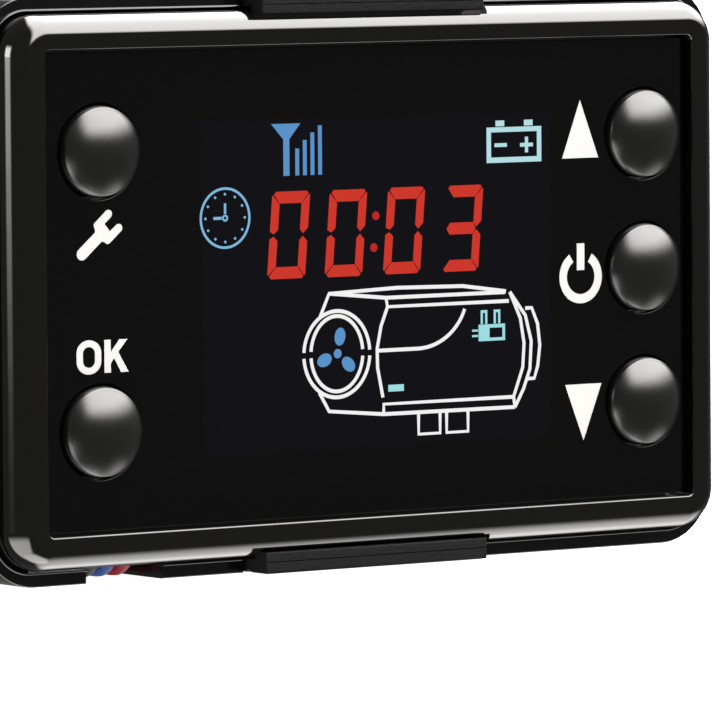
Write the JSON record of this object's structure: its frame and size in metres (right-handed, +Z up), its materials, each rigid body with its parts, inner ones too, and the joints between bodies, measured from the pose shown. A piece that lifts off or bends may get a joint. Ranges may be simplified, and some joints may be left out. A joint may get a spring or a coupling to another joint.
{
  "type": "display control panel in a wall holder",
  "caption": "Glossy black oblong control panel with a lit display and round push buttons, snapped into a wall holder, with its short lead coiled behind.",
  "frame": {"origin": "under the middle of the holder, on the surface that it stands on", "axes": "+X to the right as seen from the front, +Y from the display to the wall behind it, +Z up"},
  "size_m": [0.0996, 0.078, 0.0636],
  "materials": {
    "gloss_black": "high gloss",
    "lens": "mirror gloss",
    "tape": "matt",
    "button_grey": "satin",
    "plunger_brown": "satin",
    "chip_black": "matt",
    "display_glass": "clear",
    "white_plastic": "satin",
    "tinned": "bright",
    "board_green": "solder mask",
    "copper": "bright",
    "satin_black": "fine moulded texture",
    "steel": "zinc plated",
    "wire_black": "smooth",
    "wire_blue": "smooth",
    "wire_red": "smooth",
    "cable_sheath": "satin",
    "plug_grey": "satin"
  },
  "bodies": {
    "panel_in_holder": {"front_frame": "gloss_black", "lens_panel": "lens", "lens_tape": "tape", "settings_switch": "chip_black", "ok_switch": "chip_black", "up_switch": "chip_black", "power_switch": "chip_black", "down_switch": "chip_black", "display_glass": "display_glass", "display_backlight": "white_plastic", "lead_header": "white_plastic", "lead_socket": "white_plastic", "display_pins_upper": "tinned", "display_pins_lower": "tinned", "crystal": "tinned", "radio_receiver": "tinned", "capacitor": "tinned", "main_board": "board_green", "microcontroller": "chip_black", "voltage_regulator": "chip_black", "buzzer": "chip_black", "radio_aerial": "copper", "rear_cover": "satin_black", "wall_holder": "satin_black", "screw_lower_left": "steel", "screw_upper_left": "steel", "screw_lower_right": "steel", "screw_upper_right": "steel", "black_core": "wire_black", "blue_core": "wire_blue", "red_core": "wire_red", "lead_coil": "cable_sheath", "lead_boot": "cable_sheath", "coil_tie": "satin_black", "lead_plug": "plug_grey"},
    "settings_key": {"settings_button": "button_grey", "settings_plunger": "plunger_brown"},
    "ok_key": {"ok_button": "button_grey", "ok_plunger": "plunger_brown"},
    "up_key": {"up_button": "button_grey", "up_plunger": "plunger_brown"},
    "power_key": {"power_button": "button_grey", "power_plunger": "plunger_brown"},
    "down_key": {"down_button": "button_grey", "down_plunger": "plunger_brown"},
    "top_latch_tongue": {"top_latch": "satin_black"},
    "bottom_latch_tongue": {"bottom_latch": "satin_black"}
  },
  "joints": [
    {"name": "settings_press", "type": "slide", "parent": "panel_in_holder", "child": "settings_key", "axis": [0, 1, 0], "range_m": [0, 0.0005], "stiffness_N_per_m": 3200},
    {"name": "ok_press", "type": "slide", "parent": "panel_in_holder", "child": "ok_key", "axis": [0, 1, 0], "range_m": [0, 0.0005], "stiffness_N_per_m": 3200},
    {"name": "up_press", "type": "slide", "parent": "panel_in_holder", "child": "up_key", "axis": [0, 1, 0], "range_m": [0, 0.0005], "stiffness_N_per_m": 3200},
    {"name": "power_press", "type": "slide", "parent": "panel_in_holder", "child": "power_key", "axis": [0, 1, 0], "range_m": [0, 0.0005], "stiffness_N_per_m": 3200},
    {"name": "down_press", "type": "slide", "parent": "panel_in_holder", "child": "down_key", "axis": [0, 1, 0], "range_m": [0, 0.0005], "stiffness_N_per_m": 3200},
    {"name": "top_latch_flex", "type": "hinge", "parent": "panel_in_holder", "child": "top_latch_tongue", "pos_m": [0, 0.0046, 0.0628], "axis": [-1, 0, 0], "range_deg": [0, 6], "stiffness_Nm_per_rad": 1.5},
    {"name": "bottom_latch_flex", "type": "hinge", "parent": "panel_in_holder", "child": "bottom_latch_tongue", "pos_m": [0, 0.0046, 0.0009], "axis": [1, 0, 0], "range_deg": [0, 6], "stiffness_Nm_per_rad": 1.5}
  ]
}
